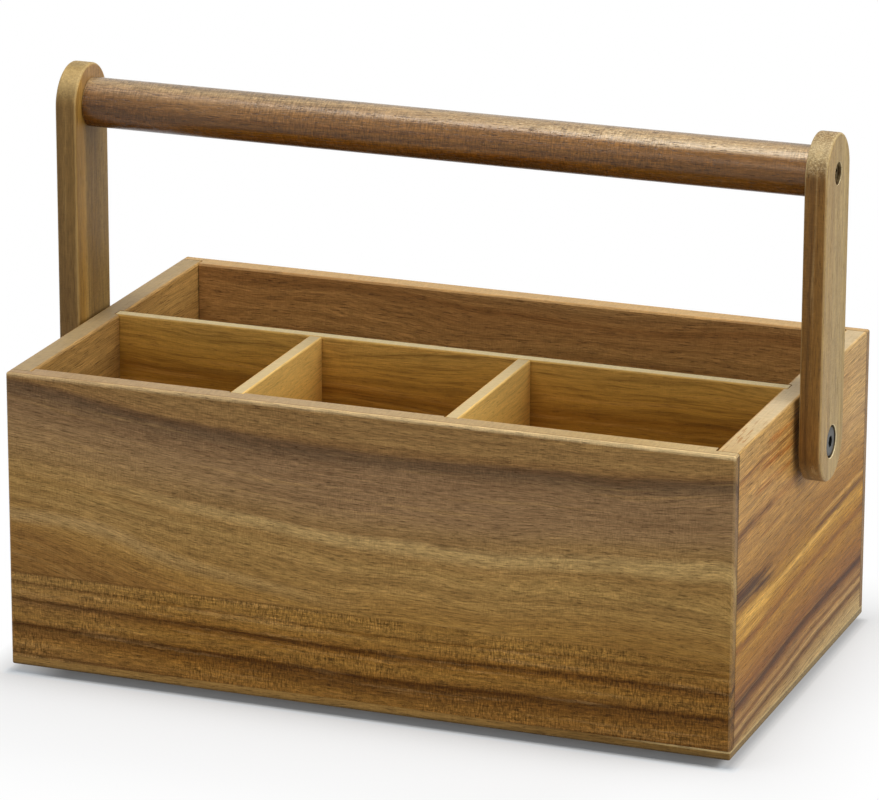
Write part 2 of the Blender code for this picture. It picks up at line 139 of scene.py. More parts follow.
class Finish:
    """One finish. Each call adds a step and gives its output, which later steps build on."""

    def __init__(self, name):
        self.material = bpy.data.materials.new(name)
        self.material.use_nodes = True
        self.tree = self.material.node_tree
        self.tree.nodes.clear()
        self.place = self.add("TexCoord", {})

    def add(self, kind, sockets, **settings):
        return add_node(self.tree, kind, sockets, **settings)

    def parts(self, what):
        """X, Y and Z of the piece's own coordinates in metres (Object), or of its facing (Normal)."""
        return self.add("SeparateXYZ", {0: self.place.outputs[what]}).outputs

    def maths(self, operation, *values, clamp=False):
        return self.add("Math", dict(enumerate(values)), operation=operation, use_clamp=clamp).outputs[0]

    def times(self, first, *others):
        for other in others:
            first = self.maths("MULTIPLY", first, other)
        return first

    def plus(self, first, *others):
        for other in others:
            first = self.maths("ADD", first, other)
        return first

    def times_plus(self, first, factor, addend):
        return self.maths("MULTIPLY_ADD", first, factor, addend)

    def minus(self, first, second):
        return self.maths("SUBTRACT", first, second)

    def larger(self, first, second):
        return self.maths("MAXIMUM", first, second)

    def size(self, value):
        """The value without its sign."""
        return self.maths("ABSOLUTE", value)

    def root(self, value):
        return self.maths("SQRT", value)

    def fade(self, value, low, high, start=0.0, end=1.0, soft=True):
        """Goes from start to end while the value goes from low to high."""
        way = "SMOOTHSTEP" if soft else "LINEAR"
        sockets = {0: value, 1: low, 2: high, 3: start, 4: end}
        return self.add("MapRange", sockets, interpolation_type=way).outputs[0]

    def near(self, value, centre, inner, outer, strength=1.0):
        """The strength while the value is less than inner from the centre, fading to 0 at outer."""
        return self.fade(self.size(self.minus(value, centre)), inner, outer, strength, 0)

    def within(self, value, start, full, fall, gone):
        """Rises to 1 from start to full, and falls back to 0 from fall to gone."""
        return self.times(self.fade(value, start, full), self.fade(value, fall, gone, 1, 0))

    def between(self, share, without, whole):
        """One value where the share is 0, another where it is 1, and a mixture in between."""
        return self.plus(self.times(share, whole), self.times(self.minus(1, share), without))

    def cloud(self, places, scales, detail=2.0, roughness=0.5, distortion=0.0):
        """Soft noise about 0.5. Each coordinate has its own scale: the larger it is, the finer the noise."""
        scaled = [place if scale == 1 else self.times(place, scale) for place, scale in zip(places, scales)]
        vector = self.add("CombineXYZ", dict(enumerate(scaled))).outputs[0]
        return self.add("TexNoise", {"Vector": vector, "Scale": 1.0, "Detail": detail, "Roughness": roughness,
                                     "Distortion": distortion}).outputs["Fac"]

    def shades(self, value, stops):
        """Colours by the value, each stop given as (value, red, green, blue) in 0-255 steps."""
        low, high = stops[0][0], stops[-1][0]
        node = self.add("ValToRGB", {0: self.fade(value, low, high, soft=False)})
        ramp = node.color_ramp
        while len(ramp.elements) < len(stops):
            ramp.elements.new(0.5)
        for element, (where, *colour) in zip(ramp.elements, stops):
            element.position = (where - low) / (high - low)
            element.color = tone(*colour)
        return node.outputs[0]

    def bend(self, value, points):
        """A smooth curve through a few points, each given as (value, result)."""
        low, high = points[0][0], points[-1][0]
        bottom = min(result for _, result in points)
        top = max(result for _, result in points)
        node = self.add("FloatCurve", {"Value": self.fade(value, low, high, soft=False)})
        curve = node.mapping.curves[0]
        while len(curve.points) < len(points):
            curve.points.new(0.5, 0.5)
        for point, (where, result) in zip(curve.points, points):
            point.location = ((where - low) / (high - low), (result - bottom) / (top - bottom))
        node.mapping.update()
        return self.times_plus(node.outputs[0], top - bottom, bottom)

    def layer(self, amount, under, over, way="MIX"):
        """Lays one colour over another by an amount from 0 to 1."""
        return self.add("Mix", {0: amount, 6: under, 7: over}, data_type="RGBA", blend_type=way).outputs[2]

    def darker(self, colour, factor):
        """Multiplies a colour by a grey factor about 1."""
        return self.add("VectorMath", {0: colour, "Scale": factor}, operation="SCALE").outputs[0]

    def shader(self, colour, roughness, relief, depth, plain):
        """The surface itself. What is the same all over goes straight on its sockets."""
        bump = self.add("Bump", {"Strength": 0.6, "Distance": depth, "Height": relief}).outputs["Normal"]
        sockets = {"Base Color": colour, "Roughness": roughness, "Normal": bump, **plain}
        self.add("OutputMaterial", {"Surface": self.add("BsdfPrincipled", sockets).outputs[0]})
        return self.material


half_length = 0.140  # metres, from the box's middle to its end faces, as in the floor's other sizes
half_depth = 0.084
paper = Finish("floor_paper")
x, y, _ = paper.parts("Object")
beside_x = paper.larger(paper.minus(paper.size(x), half_length), 0)
beside_y = paper.larger(paper.minus(paper.size(y), half_depth), 0)
from_box = paper.root(paper.plus(paper.times(beside_x, beside_x), paper.times(beside_y, beside_y)))
fibre = paper.cloud((x, y), (900, 900), detail=3)
paper_grey_and_shade = paper.shades(fibre, [(0.2, 206, 206, 205), (0.8, 212, 212, 212)])
# Inside the box's footprint the paper is darker: painted shade under the box.
paper_grey_and_shade = paper.darker(paper_grey_and_shade, paper.fade(from_box, 0, 0.0015, 0.78, 1))
shaded = paper.add("BsdfDiffuse", {"Color": paper_grey_and_shade})
# Under the front edge and close round the box the white turns bluish: painted bluish shade.
bluish_painted_shade = paper.larger(from_box, paper.fade(y, -0.086, -0.078, 0, 0.004))
bluish_painted_shade = paper.shades(bluish_painted_shade, [(0, 232, 244, 255), (0.004, 255, 255, 255)])
white = paper.add("Emission", {"Color": bluish_painted_shade, "Strength": 1.0})
# The share of plain white rises away from the box, and by another curve in front of it.
white_share = paper.plus(paper.fade(from_box, 0, 0.003, 0, 0.40),
                         paper.times(paper.root(paper.fade(from_box, 0.001, 0.052, soft=False)), 0.60))
front_share = paper.bend(from_box, [(0.0, 0.0), (0.0035, 0.36), (0.011, 0.50), (0.023, 0.635), (0.045, 0.73),
                                    (0.067, 0.80), (0.090, 0.90), (0.130, 1.0)])
in_front = paper.times(paper.fade(x, 0.080, 0.135, 1, 0), paper.fade(x, -0.190, -0.120),
                       paper.fade(y, -0.088, -0.084, 1, 0))
white_share = paper.between(in_front, white_share, front_share)
# Left of the box the white share is raised: painted light that thins the shadow there.
white_share = paper.maths("ADD", white_share, paper.fade(x, -0.185, -0.135, 0.85, 0), clamp=True)
# Under both ends the white share is raised: painted light in the gap under the box.
painted_light_under_ends = paper.plus(paper.fade(x, 0.1335, 0.1375, 0.08, 0.30), paper.fade(x, -0.1385, -0.118, 0.26, 0))
white_share = paper.times(paper.larger(white_share, painted_light_under_ends), seen_directly(paper.tree))
paper_mix = paper.add("MixShader", {0: white_share, 1: shaded.outputs[0], 2: white.outputs[0]})
paper.add("OutputMaterial", {"Surface": paper_mix.outputs[0]})
floor.data.materials.append(paper.material)


# ---------------------------------------------------------------------------
# Bottom board. A thin plain-sawn acacia board that closes the box from below,
# flush with the walls and screwed to them. Its grain runs the length of the box.

def start_finish(name):
    """A new finish, with the piece's own coordinates in millimetres."""
    finish = Finish(name)
    return finish, *[finish.times(part, 1000) for part in finish.parts("Object")]


def wood_surface(wood, colour, along, across, through, lines, end_axis, streak=0.26, fibre=0.60, pore=0.55,
                 ripple=0.10, long=1.0, end_shade=0.78, arris=0.22, arris_tone=(226, 198, 152), shine=0.20,
                 roughness=0.50, oil=(255, 244, 222), rim_marks=0.0, rim_share=0.45, rim_tone_and_sheen=None,
                 streaks=((92, 58, 28), (208, 164, 104), (84, 50, 22))):
    """Lays an oiled acacia surface over a base colour: streaks, fibres, open pores, a ripple across the
    grain, darker end grain, arrises lighter from wear and a painted highlight, and rim tops with their own
    tone and a painted sheen. Along, across and through are in millimetres."""
    far = wood.times(along, 1 / long)

    def stretched(length, width, detail, rough=0.6, wavy=0.0):
        scales = (1 / length, 1 / width, 1 / width)
        return wood.cloud((far, lines, through), scales, detail, rough, wavy)

    long_streaks = stretched(75, 2.6, 3)
    short_streaks = stretched(24, 1, 2, wavy=0.2)
    fibres = stretched(7, 0.50, 4, 0.82)
    pores = wood.cloud((far, across, through), (0.21, 2.3, 2.3), roughness=0.6, distortion=0.15)
    pore_marks = wood.fade(pores, 0.585, 0.68)
    ripples = wood.cloud((along, across, through), (1.7, 0.34, 0.34), roughness=0.7)
    patches = wood.cloud((along, across, through), (0.02, 0.05, 0.05))
    # Dark early wood is browner than the base, and light late wood a little paler.
    colour = wood.layer(wood.fade(long_streaks, 0.52, 0.34, 0, streak), colour, streaks[0])
    colour = wood.layer(wood.fade(long_streaks, 0.52, 0.68, 0, streak), colour, streaks[1])
    colour = wood.layer(wood.fade(short_streaks, 0.50, 0.32, 0, streak), colour, streaks[2])
    grit = wood.times_plus(wood.fade(fibres, 0.26, 0.72, -1, 0.85, soft=False), fibre, 1)
    ripple_shade = wood.times(wood.fade(ripples, 0.32, 0.68, -1, 1, soft=False), ripple,
                              wood.fade(patches, 0.38, 0.58, 0.25, 1))
    colour = wood.darker(colour, wood.times(grit, wood.plus(ripple_shade, 1)))
    colour = wood.layer(wood.times(pore_marks, pore), colour, (58, 34, 16))
    facing = wood.parts("Normal")
    sides = [wood.size(part) for part in facing]
    ends = wood.fade(sides["XYZ".index(end_axis)], 0.80, 0.97)
    colour = wood.layer(ends, colour, wood.darker(colour, end_shade))
    # Rim tops take a paler, greyer colour: partly the wood's own tone, partly a painted sheen.
    if rim_marks:
        sawn = wood.cloud((along, through), (0.9, 0.22), detail=3, roughness=0.7)
        sawn_shade = wood.fade(sawn, 0.32, 0.68, 1 - rim_marks, 1 + rim_marks, soft=False)
        rim = wood.darker(wood.layer(rim_share, colour, rim_tone_and_sheen), sawn_shade)
        colour = wood.layer(wood.fade(facing["Z"], 0.90, 0.99), colour, rim)
    # Arrises are lighter: partly wear, partly a painted highlight.
    flat = wood.larger(wood.larger(sides[0], sides[1]), sides[2])
    worn_and_lit_arris = wood.times(wood.fade(flat, 0.80, 0.995, 1, 0), arris)
    colour = wood.layer(worn_and_lit_arris, colour, arris_tone)
    colour = wood.layer(1.0, colour, oil, "MULTIPLY")
    relief = wood.minus(wood.times(fibres, 0.5), pore_marks)
    gloss = wood.plus(wood.fade(fibres, 0.3, 0.7, roughness - 0.05, roughness + 0.06, soft=False),
                      wood.times(pore_marks, 0.14))
    return wood.shader(colour, gloss, relief, 0.00012, {"Specular IOR Level": shine})


def wander(wood, along, across, through, amount, seed):
    """How far the figure drifts sideways, in millimetres, as a long board's does."""
    slow = wood.cloud((wood.times_plus(along, 0.0075, seed), across, through), (1, 0.022, 0.03), detail=1)
    quick = wood.cloud((wood.times_plus(along, 0.03, seed), across, through), (1, 0.12, 0.15))
    drift = wood.fade(slow, 0.25, 0.75, -amount, amount, soft=False)
    return wood.plus(drift, wood.fade(quick, 0.25, 0.75, -0.22 * amount, 0.22 * amount, soft=False))


def choose(piece):
    """Makes the piece the only one selected, and the active one."""
    bpy.ops.object.select_all(action="DESELECT")
    piece.select_set(True)
    bpy.context.view_layer.objects.active = piece


def pick(piece, kind, wanted):
    """Goes into edit mode with just those faces or edges selected whose corners all pass the test."""
    choose(piece)
    bpy.ops.object.mode_set(mode="EDIT")
    bpy.ops.mesh.select_mode(type=kind)
    bpy.ops.mesh.select_all(action="DESELECT")
    bpy.ops.object.mode_set(mode="OBJECT")
    corners = piece.data.vertices
    for item in piece.data.polygons if kind == "FACE" else piece.data.edges:
        item.select = all(wanted(corners[i].co) for i in item.vertices)
    bpy.ops.object.mode_set(mode="EDIT")


def give(piece, finish):
    """Gives a piece one finish all over."""
    piece.data.materials.clear()
    piece.data.materials.append(finish)


wood, x, y, z = start_finish("bottom_board_acacia")
drift = wander(wood, x, y, z, 6, seed=3.1)
line = wood.plus(y, drift, wood.times(z, 1.5))
colour = wood.shades(line, [
    (-95, 150, 112, 70), (-80, 158, 124, 80), (-58, 172, 136, 88), (-40, 150, 108, 64), (-22, 168, 128, 78),
    (-8, 140, 98, 56), (4, 170, 132, 82), (25, 178, 142, 92), (42, 146, 104, 60), (60, 166, 126, 76),
    (80, 174, 138, 88), (95, 158, 118, 72),
])
facing = wood.parts("Normal")
front_strip = wood.shades(x, [(-140, 170, 136, 84), (20, 170, 136, 82), (75, 138, 108, 62),
                              (140, 124, 98, 56)])
# The front strip is darker towards its lower edge: painted shade near the floor.
front_strip = wood.layer(wood.fade(z, 3.2, 5.4, 0.55, 0), front_strip, (104, 88, 60))
colour = wood.layer(wood.fade(facing["Y"], -0.95, -0.80, 0.90, 0), colour, front_strip)
end_strip = wood.shades(y, [(-84, 138, 118, 84), (84, 152, 138, 110)])
colour = wood.layer(wood.fade(facing["X"], 0.80, 0.95, 0, 0.90), colour, end_strip)
# A pale line along the top arris near the right corner: a painted highlight.
painted_top_edge_highlight = wood.times(wood.fade(z, 5.6, 6.2, 0, 0.75), wood.fade(x, 88, 128))
colour = wood.layer(painted_top_edge_highlight, colour, (226, 204, 160))
# All round, the lowest millimetre is darker: painted shade along the edge by the floor.
colour = wood.layer(wood.fade(z, 3.5, 4.3, 0.55, 0), colour, (64, 54, 36))
bottom_finish = wood_surface(wood, colour, x, y, z, line, "X", streak=0.12, end_shade=1.0, arris=0.0,
                             shine=0.10, oil=(244, 236, 212))

choose(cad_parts["bottom_board"])
bpy.ops.object.duplicate()
bottom = bpy.context.object
bottom.name = bottom.data.name = "bottom_board_fitted"
bottom.parent = None
for key in [key for key in bottom.keys() if key.startswith("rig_")]:
    del bottom[key]
bpy.ops.object.mode_set(mode="EDIT")
bpy.ops.mesh.select_all(action="SELECT")
bpy.ops.mesh.remove_doubles(threshold=0.00001)
bpy.ops.object.mode_set(mode="OBJECT")
# The top face and its arris are raised, which closes most of the 0.3 mm gap under the walls.
bottom_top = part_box("bottom_board")[1].z
arris_depth = 0.00085
raised_by = 0.00024
pick(bottom, "EDGE", lambda at: at.z > bottom_top - arris_depth)
bpy.ops.transform.translate(value=(0.0, 0.0, raised_by))
bpy.ops.object.mode_set(mode="OBJECT")
give(bottom, bottom_finish)
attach(bottom, "box")
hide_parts("bottom_board")


# ---------------------------------------------------------------------------
# Front board. Glued up from two strips of acacia: a wide one above with a
# sagging flat-sawn figure, and a straight-grained one below with dark lines.
# It is rabbeted at both ends to lap the side boards.

def dress(node_name, finish):
    """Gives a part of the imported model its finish."""
    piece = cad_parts[node_name]
    if not piece.material_slots:
        piece.data.materials.append(finish)
    for slot in piece.material_slots:
        slot.material = finish


rim_height = 116.6  # millimetres, as in the finishes of all pieces
front_face = half_depth * 1000.0
glue_line = 77.0  # below the rim
wood, x, y, z = start_finish("front_board_acacia")
depth = wood.minus(rim_height, z)
inward = wood.plus(y, front_face)
drift = wander(wood, x, z, inward, 1.6, seed=0.4)
# The figure sags right of the board's middle. Further down it stays low from there to the right end.
left_sag = [(-140, 0.0), (-126, 0.13), (-100, 0.42), (-70, 0.68), (-28, 0.90), (0, 0.98), (25, 1.0)]
sag = wood.bend(x, [*left_sag, (60, 0.95), (110, 0.66), (140, 0.36)])
deep_sag = wood.bend(x, [*left_sag, (60, 1.0), (110, 0.93), (140, 0.86)])
sag = wood.between(wood.fade(depth, 30, 62), sag, deep_sag)
sag_reach = wood.bend(depth, [(-5, 8.0), (5, 9.5), (45, 17.0), (70, 26.0), (80, 28.0)])
high_droop = wood.bend(x, [(-140, 0.0), (-110, -0.2), (-70, 0.9), (-30, 0.8), (20, 0.3), (60, 0.6),
                           (90, 2.4), (112, 3.2), (140, 3.0)])
low_droop = wood.bend(x, [(-140, 0.0), (-90, -1.2), (-50, -1.5), (-10, -1.8), (20, -3.0), (50, -2.9),
                          (80, -4.2), (106, -3.3), (140, 0.6)])
droop = wood.between(wood.fade(depth, 18, 42), high_droop, low_droop)
upper_line = wood.minus(depth, wood.times_plus(sag, sag_reach, droop))
upper_line = wood.plus(upper_line, drift, wood.times(inward, -0.9))
upper_colour = wood.shades(upper_line, [
    (-14, 156, 124, 84), (-1, 158, 125, 84), (1.8, 147, 113, 76), (3.4, 112, 87, 66), (5.5, 117, 94, 74),
    (10, 140, 112, 86), (16, 163, 133, 101), (25, 170, 139, 101), (29, 163, 132, 92), (30.8, 162, 130, 90),
    (32.6, 194, 165, 118), (34.3, 192, 162, 114), (36.2, 166, 132, 85), (39.5, 180, 147, 95),
    (41.5, 163, 130, 82), (45, 179, 144, 90), (48, 164, 128, 76), (52, 173, 135, 77), (58, 162, 122, 67),
    (63, 152, 112, 60), (80, 142, 103, 53),
])
left_arc = wood.times(wood.fade(x, -120, -30, 0.7, 0), wood.near(upper_line, 33.4, 1, 3))
upper_colour = wood.layer(left_arc, upper_colour, (164, 130, 84))
second_arc = wood.bend(x, [(-140, 54.0), (-110, 55.5), (-80, 63.0), (-60, 67.0), (-30, 71.0), (10, 75.0),
                           (140, 80.0)])
second_arc = wood.times(wood.near(wood.plus(depth, drift), second_arc, 0.6, 4.6, 0.55),
                        wood.fade(x, -45, 10, 1, 0))
upper_colour = wood.layer(second_arc, upper_colour, (190, 160, 112))
mauve = wood.times(wood.fade(x, -95, 10, 0.15, 1), wood.within(upper_line, 5, 10, 22, 31), 0.75)
upper_colour = wood.layer(mauve, upper_colour, (154, 124, 97))
right_low = wood.times(wood.fade(x, 30, 120), wood.fade(upper_line, 40, 54), 0.35)
upper_colour = wood.layer(right_low, upper_colour, (128, 92, 46))

line_drop = wood.bend(x, [(-140, 0.0), (-80, 1.2), (-20, 2.6), (5, 3.0), (60, 1.8), (140, 1.0)])
lower_line = wood.minus(wood.times_plus(drift, 0.2, depth), line_drop)
lower_line = wood.times_plus(inward, 0.5, lower_line)
lower_colour = wood.shades(lower_line, [
    (72, 148, 110, 54), (79.5, 164, 123, 60), (80.6, 138, 98, 43), (82.2, 166, 124, 60), (85.6, 152, 109, 48),
    (86.7, 124, 83, 31), (87.4, 98, 63, 19), (88.6, 122, 81, 30), (90, 150, 106, 44), (93, 158, 116, 53),
    (96, 140, 98, 41), (96.6, 112, 73, 26), (97.3, 92, 57, 14), (98.6, 114, 75, 24), (101, 138, 94, 36),
    (104, 156, 112, 50), (107.6, 150, 107, 50), (108.6, 122, 83, 38), (110, 156, 119, 66),
    (115, 166, 131, 76),
])
ragged = wood.cloud((x, lower_line, inward), (0.22, 1.3, 1), detail=3, roughness=0.7)
lower_line = wood.plus(lower_line, wood.fade(ragged, 0.30, 0.70, -0.55, 0.55, soft=False))
uneven = wood.fade(wood.cloud((x, depth), (0.035, 0.04)), 0.36, 0.58, 0.45, 1)
belly = wood.times(wood.bend(x, [(-140, 0), (-70, 0.25), (0, 1), (70, 0.8), (140, 0.45)]),
                   wood.within(lower_line, 96.5, 98.5, 99.5, 108), 0.6)
lower_colour = wood.layer(belly, lower_colour, (96, 62, 24))
lower_colour = wood.layer(wood.fade(x, 40, 130, 0, 0.35), lower_colour, (112, 76, 32))
left_pale = wood.times(wood.fade(x, -140, -60, 0.30, 0), wood.fade(lower_line, 96, 88, 0.5, 1))
lower_colour = wood.layer(left_pale, lower_colour, (166, 134, 90))
for dark_line, half_width, strength in ((80.4, 0.45, 0.40), (87.4, 0.85, 0.66), (97.3, 1.10, 0.80),
                                        (108.7, 0.6, 0.40)):
    mark = wood.times(wood.near(lower_line, dark_line, 0.1, half_width, strength), uneven)
    lower_colour = wood.layer(mark, lower_colour, (78, 46, 6))

seam = wood.times_plus(drift, 0.10, depth)
below_seam = wood.fade(seam, glue_line - 0.3, glue_line + 0.3)
colour = wood.layer(below_seam, upper_colour, lower_colour)
seam_mark = wood.times(wood.near(seam, glue_line, 0.1, 0.7, 0.45), wood.fade(x, -40, 60, 1, 0.15))
colour = wood.layer(seam_mark, colour, (92, 60, 28))
front_lines = wood.between(below_seam, upper_line, lower_line)
rim_tone_and_sheen = wood.shades(x, [(-140, 166, 144, 122), (0, 176, 156, 130), (100, 180, 156, 116),
                             (140, 198, 178, 146)])
rim_tone_and_sheen = wood.layer(wood.near(inward, 1.15, 0.15, 0.45, 0.55), rim_tone_and_sheen, (122, 92, 60))
# The front top arris is painted lighter, most towards the right: a painted highlight, with some wear.
top_arris_highlight = wood.times(wood.fade(depth, 1.2, 2.4, 1, 0), wood.fade(x, -140, 110, 0.45, 0.95))
side_arris = wood.fade(depth, 1.2, 2.4, 0, 0.25)
front_edge_wear_and_highlight = wood.times(wood.fade(inward, 0.5, 0.9, 1, 0), wood.fade(depth, 1, 1.9, 1, 0),
                       wood.fade(x, -140, 110, 0.35, 0.85))
colour = wood.layer(front_edge_wear_and_highlight, colour, (228, 202, 164))
lip_joint = wood.times(wood.within(inward, 2.6, 3.5, 4.3, 5), wood.fade(depth, 8, 34, 0.80, 0.20),
                       wood.fade(wood.size(x), 139, 139.8))
colour = wood.layer(lip_joint, colour, (58, 38, 22))
pale_left = wood.times(wood.fade(x, -140, -45, 1, 0), wood.fade(depth, 40, 54), 0.9)
front_oil = wood.shades(x, [(0, 252, 246, 224), (140, 250, 244, 218)])
front_oil = wood.layer(pale_left, front_oil, (255, 254, 249))
front_oil = wood.layer(below_seam, front_oil, (255, 254, 248))
dress("front_board", wood_surface(
    wood, colour, x, depth, inward, front_lines, "X", arris=wood.plus(top_arris_highlight, side_arris),
    arris_tone=(244, 220, 184), rim_marks=0.14, rim_share=0.75, rim_tone_and_sheen=rim_tone_and_sheen,
    streak=0.22, fibre=wood.times_plus(below_seam, 0.34, 0.66), shine=0.07,
    ripple=wood.times_plus(below_seam, 0.42, 0.16), oil=front_oil,
    streaks=((96, 64, 36), (204, 166, 112), (88, 56, 30))))


# ---------------------------------------------------------------------------
# Back board. The front board's twin, cut from a plainer plank and turned so
# that its outer face is the better one.

wood, x, y, z = start_finish("back_board_acacia")
depth = wood.minus(rim_height, z)
inward = wood.minus(front_face, y)
drift = wander(wood, x, z, inward, 4.5, seed=7.7)
line = wood.plus(depth, drift, wood.times(inward, 1.1))
colour = wood.shades(line, [
    (-8, 172, 136, 90), (6, 178, 142, 94), (14, 150, 110, 66), (19, 166, 126, 78), (30, 174, 136, 84),
    (38, 142, 102, 58), (44, 164, 124, 74), (58, 172, 134, 80), (66, 150, 108, 58), (70, 118, 80, 42),
    (74, 156, 114, 64), (88, 168, 128, 76), (98, 140, 98, 52), (106, 164, 124, 72), (120, 158, 118, 70),
])
on_lip = wood.fade(wood.size(x), 139, 139.8, 0, 0.55)
colour = wood.layer(on_lip, colour, (158, 140, 112))
dress("back_board", wood_surface(wood, colour, x, depth, inward, line, "X", shine=0.14,
                                 rim_marks=0.12, rim_share=0.55, rim_tone_and_sheen=(196, 172, 132)))


# ---------------------------------------------------------------------------
# Side boards. Short boards between the lips of the front and back boards, each
# with a through housing for the long divider and a hole for the handle's bolt.
# The right one has warm streaks near its rim and dark bands lower down.

end_face = half_length * 1000.0
wood, x, y, z = start_finish("side_board_right_acacia")
depth = wood.minus(rim_height, z)
inward = wood.minus(end_face, x)
drift = wander(wood, y, z, inward, 1.5, seed=5.2)
line = wood.plus(depth, drift, wood.times(inward, 0.8))
line = wood.times_plus(y, wood.fade(depth, 30, 95, 0.008, 0.044, soft=False), line)
# The palest, greyest stops at the bottom are partly the board's tone, partly a painted reflection of the
# floor.
colour = wood.shades(line, [
    (-6, 185, 157, 118), (4, 185, 153, 111), (9.6, 183, 147, 102), (10.8, 148, 107, 66), (12.2, 180, 142, 94),
    (20, 186, 151, 106), (26, 182, 146, 100), (30.5, 160, 120, 76), (34, 174, 137, 89), (44, 164, 127, 76),
    (50, 153, 114, 60), (55, 152, 112, 54), (60, 166, 127, 58), (64, 182, 142, 66), (69, 162, 119, 48),
    (71, 136, 92, 34), (75, 170, 129, 60), (80, 155, 113, 50), (86, 142, 99, 50), (89.6, 124, 83, 46),
    (91.4, 68, 40, 20), (92.4, 78, 48, 26), (94.2, 124, 86, 52), (97, 166, 132, 94), (99.2, 116, 80, 50),
    (101, 186, 157, 122), (103.2, 100, 67, 40), (106, 170, 144, 112), (110, 188, 168, 142),
    (116, 190, 172, 148),
])
threads = wood.cloud((y, line, inward), (0.035, 1.9, 1), detail=3, roughness=0.65)
split = wood.fade(threads, 0.44, 0.56, 0.15, 1)
paler = wood.times(wood.fade(y, 10, 70), wood.fade(depth, 26, 50, 0.65, 0))
colour = wood.layer(paler, colour, (190, 167, 142))
# Streaks that stop within the board. The broken ones are split into threads.
for start, end, start_depth, end_depth, thickness, shade, strength, feather, broken in (
        (-104, -24, 54.6, 56, 7.6, (62, 34, 14), 1.00, 30, True),
        (-100, -34, 54.4, 55.6, 3.6, (60, 32, 16), 0.85, 26, False),
        (-100, -26, 57.4, 58.2, 1.5, (66, 38, 18), 0.85, 24, False),
        (-84, 70, 65.5, 59.6, 1.5, (226, 186, 112), 0.85, 40, False),
        (0, 96, 59.2, 56.8, 1.7, (98, 62, 26), 0.90, 26, False),
        (8, 92, 56, 54, 1.1, (204, 168, 112), 0.60, 26, False),
        (-90, -30, 65, 64, 4.6, (224, 184, 108), 0.75, 24, False),
        (-90, -34, 71, 70, 2.2, (214, 174, 98), 0.60, 24, False),
        (-90, -20, 74.5, 73.5, 1, (134, 90, 42), 0.60, 12, False),
        (-96, -30, 33, 29.6, 3.6, (92, 58, 30), 0.85, 16, True),
        (-86, -38, 11.2, 10.2, 0.6, (104, 68, 38), 0.70, 12, False),
        (-50, -8, 6.5, 7.5, 2.4, (176, 112, 52), 0.80, 12, True),
        (-58, -8, 14, 15.5, 2.6, (164, 100, 44), 0.85, 12, True),
        (-66, -10, 21, 22, 2.2, (160, 100, 48), 0.80, 12, True),
        (-60, -20, 40, 38.5, 1.2, (120, 80, 44), 0.60, 16, True)):
    slope = (end_depth - start_depth) / (end - start)
    middle = wood.times_plus(y, slope, start_depth - slope * start)
    mark = wood.times(wood.near(depth, middle, 0.15 * thickness, thickness, strength),
                      wood.fade(y, start, start + feather), wood.fade(y, end - feather, end, 1, 0))
    colour = wood.layer(wood.times(mark, split) if broken else mark, colour, shade)
rim_tone_and_sheen = wood.shades(y, [(-80, 184, 164, 142), (-55, 194, 182, 172), (-20, 198, 190, 190),
                             (80, 192, 182, 178)])
rim_threads = wood.times(wood.fade(wood.cloud((y, inward), (0.10, 1.6)), 0.54, 0.62, 0, 0.75),
                         wood.fade(y, -58, -30, 1, 0.15))
rim_tone_and_sheen = wood.layer(rim_threads, rim_tone_and_sheen, (146, 104, 62))
# The rim is paler towards both arrises: painted highlight.
rim_arris_highlight = wood.fade(wood.size(wood.minus(inward, 4.25)), 2.6, 3.4, 0, 0.5)
rim_tone_and_sheen = wood.layer(rim_arris_highlight, rim_tone_and_sheen, (216, 198, 176))
dress("side_board_right", wood_surface(
    wood, colour, y, depth, inward, line, "Y", long=2.6, streak=0.20, fibre=0.84, ripple=0.16,
    oil=(255, 240, 193), shine=0.10, streaks=((104, 70, 38), (212, 174, 118), (96, 62, 30)),
    rim_marks=0.10, rim_share=0.85, rim_tone_and_sheen=rim_tone_and_sheen))

wood, x, y, z = start_finish("side_board_left_acacia")
depth = wood.minus(rim_height, z)
inward = wood.plus(x, end_face)
drift = wander(wood, y, z, inward, 3, seed=9.4)
line = wood.plus(depth, drift, wood.times(inward, -0.7))
colour = wood.shades(line, [
    (-10, 176, 141, 86), (4, 178, 144, 88), (16, 168, 132, 75), (24, 182, 143, 83), (36, 178, 134, 76),
    (44, 150, 106, 58), (50, 174, 130, 74), (66, 182, 140, 82), (76, 146, 102, 56), (84, 172, 130, 76),
    (98, 156, 114, 66), (110, 176, 138, 88), (118, 170, 134, 88),
])
dress("side_board_left", wood_surface(wood, colour, y, depth, inward, line, "Y", long=2.0, shine=0.14,
                                      rim_marks=0.10, rim_share=0.80, rim_tone_and_sheen=(154, 141, 116)))


# ---------------------------------------------------------------------------
# Dividers. Thin pale sapwood boards: the long one parts the plate bay from the
# rest and slides into the side boards, the two short ones part the front half.

wood, x, y, z = start_finish("long_divider_sapwood")
depth = wood.minus(rim_height, z)
line = wood.plus(depth, wander(wood, x, z, y, 4, seed=2.6))
colour = wood.shades(line, [
    (-8, 210, 180, 122), (6, 200, 162, 92), (16, 184, 142, 70), (20, 160, 116, 50), (27, 182, 138, 64),
    (34, 172, 128, 56), (52, 150, 110, 46), (60, 162, 122, 56), (82, 148, 108, 48), (100, 158, 118, 56),
    (118, 154, 116, 56),
])
dress("long_divider", wood_surface(wood, colour, x, depth, y, line, "X", streak=0.34, fibre=0.30, arris=0.5,
                                   pore=0.30, ripple=0.05, shine=0.12, oil=(255, 238, 190), rim_marks=0.08,
                                   rim_share=0.85, rim_tone_and_sheen=(222, 218, 208)))

